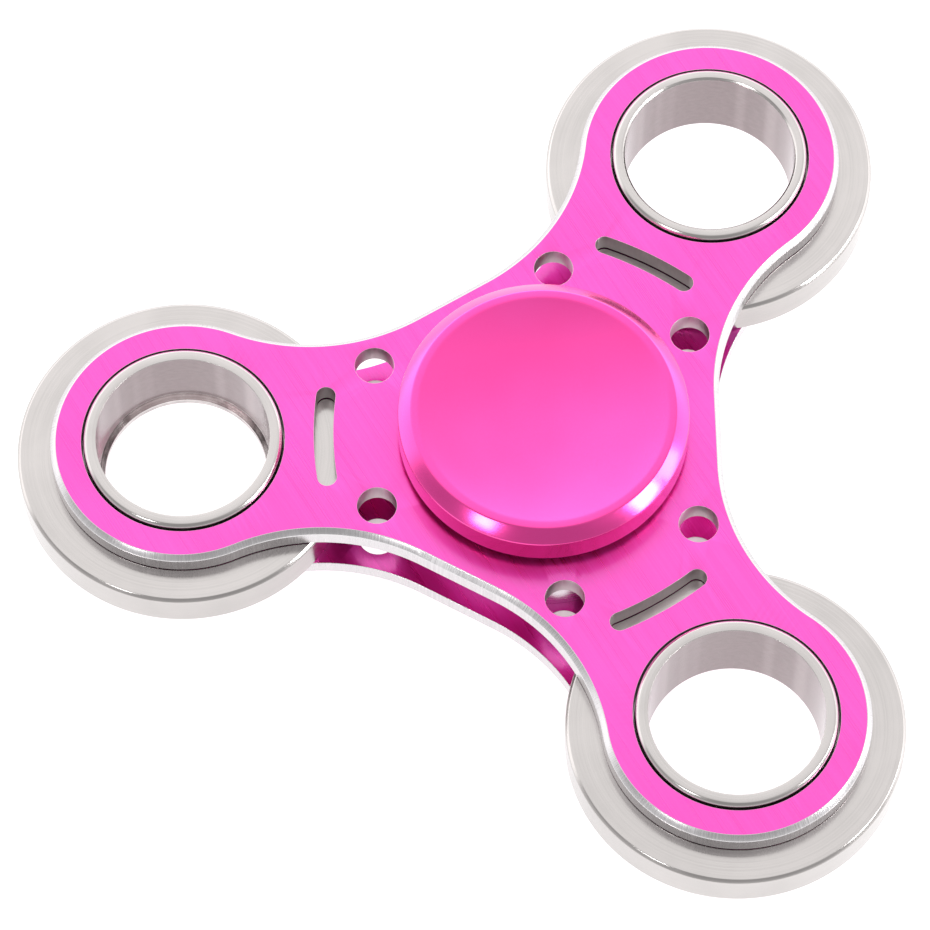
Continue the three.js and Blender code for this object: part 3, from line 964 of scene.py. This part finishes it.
# The floor, in metres, lies just under the lower cap. Its glow keeps it pale where no light falls.
FLOOR_HALF = 3.0
FLOOR_Z = cad_bounds[0][2] - 0.00002
FLOOR_GREY = (0.35, 0.35, 0.35, 1)
FLOOR_ROUGHNESS = 0.9
FLOOR_GLOW = 0.95
WHITE = (1, 1, 1, 1)

# The tent's brightness. A pair is where a soft step starts and ends: in Y, away from the camera, for
# the two steps along the walls, and in Z, upwards, for the glow low down and the start of the roof.
TENT_DARKEST = 0.5
TENT_ROOF = 0.96
ROOF_SLOPE = 0.95
ROOF_TWIST = -0.9
ROOF_STARTS = (0.3, 0.7)
SIDE_WALL = (-0.06, 0.14)
SIDE_WALL_RISE = 1.15
FAR_WALL = (0.25, 0.75)
FAR_WALL_RISE = 0.5
LOW_GLOW = (0.4, 0.12)
LOW_GLOW_RISE = 0.4
BACKDROP_GREY = (0.97, 0.97, 0.97, 1)

# Each soft light's name, azimuth and elevation in degrees, width and height in metres, and radiance.
SOFTBOX_DISTANCE = 0.7
SOFTBOXES = (
    ("front_left", 320, 36, 0.13, 0.14, 13.0),
    ("right_side", 67, 28, 0.2, 0.2, 16.0),
    ("right_fill", 88, 21, 0.18, 0.2, 7.0),
)


def direction(azimuth, elevation):
    """A unit vector from the spinner. Both angles are in degrees.
    The azimuth runs from the front, where the camera is, round to the right."""
    a, e = radians(azimuth), radians(elevation)
    return Vector((sin(a) * cos(e), -cos(a) * cos(e), sin(e)))


def floor():
    """A pale floor with no underside, so that the spinner can be looked at from below."""
    bm = bmesh.new()
    corners = ((-1, -1), (1, -1), (1, 1), (-1, 1))
    bm.faces.new([bm.verts.new((x * FLOOR_HALF, y * FLOOR_HALF, 0)) for x, y in corners])
    mesh = bpy.data.meshes.new("floor")
    bm.to_mesh(mesh)
    bm.free()
    piece = bpy.data.objects.new("floor", mesh)
    bpy.context.scene.collection.objects.link(piece)
    piece.location.z = FLOOR_Z
    look = Look("pale_floor")
    look.set(Base_Color=FLOOR_GREY, Roughness=FLOOR_ROUGHNESS,
             Emission_Color=WHITE, Emission_Strength=FLOOR_GLOW)
    from_below = look.node("ShaderNodeNewGeometry").outputs["Backfacing"]
    clear = look.node("ShaderNodeBsdfTransparent").outputs[0]
    output = next(n for n in look.tree.nodes if n.type == "OUTPUT_MATERIAL")
    sides = look.node("ShaderNodeMixShader", {0: from_below, 1: look.shader.outputs[0], 2: clear})
    look.tree.links.new(sides.outputs[0], output.inputs["Surface"])
    mesh.materials.append(look.material)


def softbox(name, azimuth, elevation, width, height, radiance):
    """A soft light that faces the spinner. radiance is how bright it looks in a mirror."""
    towards = direction(azimuth, elevation)
    light = bpy.data.lights.new(name, "AREA")
    light.shape = "RECTANGLE"
    light.size = width
    light.size_y = height
    light.energy = radiance * pi * width * height
    lamp = bpy.data.objects.new(name, light)
    bpy.context.scene.collection.objects.link(lamp)
    lamp.location = towards * SOFTBOX_DISTANCE
    lamp.rotation_euler = towards.to_track_quat("Z", "Y").to_euler()
    lamp.visible_camera = False


def studio_world():
    """A light tent: soft overhead, dark behind the camera and bright low down on the far side.
    The camera itself sees a plain pale backdrop."""
    world = bpy.data.worlds.new("studio")
    bpy.context.scene.world = world
    world.use_nodes = True
    sky = Nodes(world.node_tree)
    background = next(n for n in sky.tree.nodes if n.type == "BACKGROUND")
    output = next(n for n in sky.tree.nodes if n.type == "OUTPUT_WORLD")
    towards = sky.node("ShaderNodeTexCoord").outputs["Generated"]
    x, y, z = sky.node("ShaderNodeSeparateXYZ", {0: towards}).outputs
    slope = sky.sum(TENT_ROOF, sky.times(y, ROOF_SLOPE), sky.times(sky.times(x, y), ROOF_TWIST))
    roof = sky.node("ShaderNodeMath", {0: slope, 1: TENT_DARKEST}, operation="MAXIMUM").outputs[0]
    side_wall = sky.ranged(y, *SIDE_WALL, 0, SIDE_WALL_RISE, interpolation="SMOOTHSTEP")
    far_wall = sky.ranged(y, *FAR_WALL, 0, FAR_WALL_RISE, interpolation="SMOOTHSTEP")
    low_glow = sky.ranged(z, *LOW_GLOW, 0, LOW_GLOW_RISE, interpolation="SMOOTHSTEP")
    walls = sky.sum(TENT_DARKEST, side_wall, far_wall, low_glow)
    overhead = sky.ranged(z, *ROOF_STARTS, 0, 1, interpolation="SMOOTHSTEP")
    level = sky.node("ShaderNodeMix", {"Factor": overhead, 2: walls, 3: roof}, data_type="FLOAT")
    sky.tree.links.new(level.outputs[0], background.inputs["Strength"])
    background.inputs["Color"].default_value = WHITE
    backdrop = sky.node("ShaderNodeBackground", {"Color": BACKDROP_GREY})
    seen = sky.node("ShaderNodeLightPath").outputs["Is Camera Ray"]
    choice = sky.node("ShaderNodeMixShader", {0: seen, 1: background.outputs[0], 2: backdrop.outputs[0]})
    sky.tree.links.new(choice.outputs[0], output.inputs["Surface"])


def camera():
    data = bpy.data.cameras.new("camera")
    data.lens = CAMERA_LENS
    data.sensor_width = CAMERA_SENSOR
    back = direction(CAMERA_AZIMUTH, CAMERA_ELEVATION)
    eye = bpy.data.objects.new("camera", data)
    bpy.context.scene.collection.objects.link(eye)
    eye.location = TARGET + back * CAMERA_DISTANCE
    eye.rotation_euler = back.to_track_quat("Z", "Y").to_euler()
    bpy.context.scene.camera = eye


floor()
studio_world()
for box in SOFTBOXES:
    softbox(*box)
camera()
bpy.context.scene.view_settings.view_transform = "Standard"
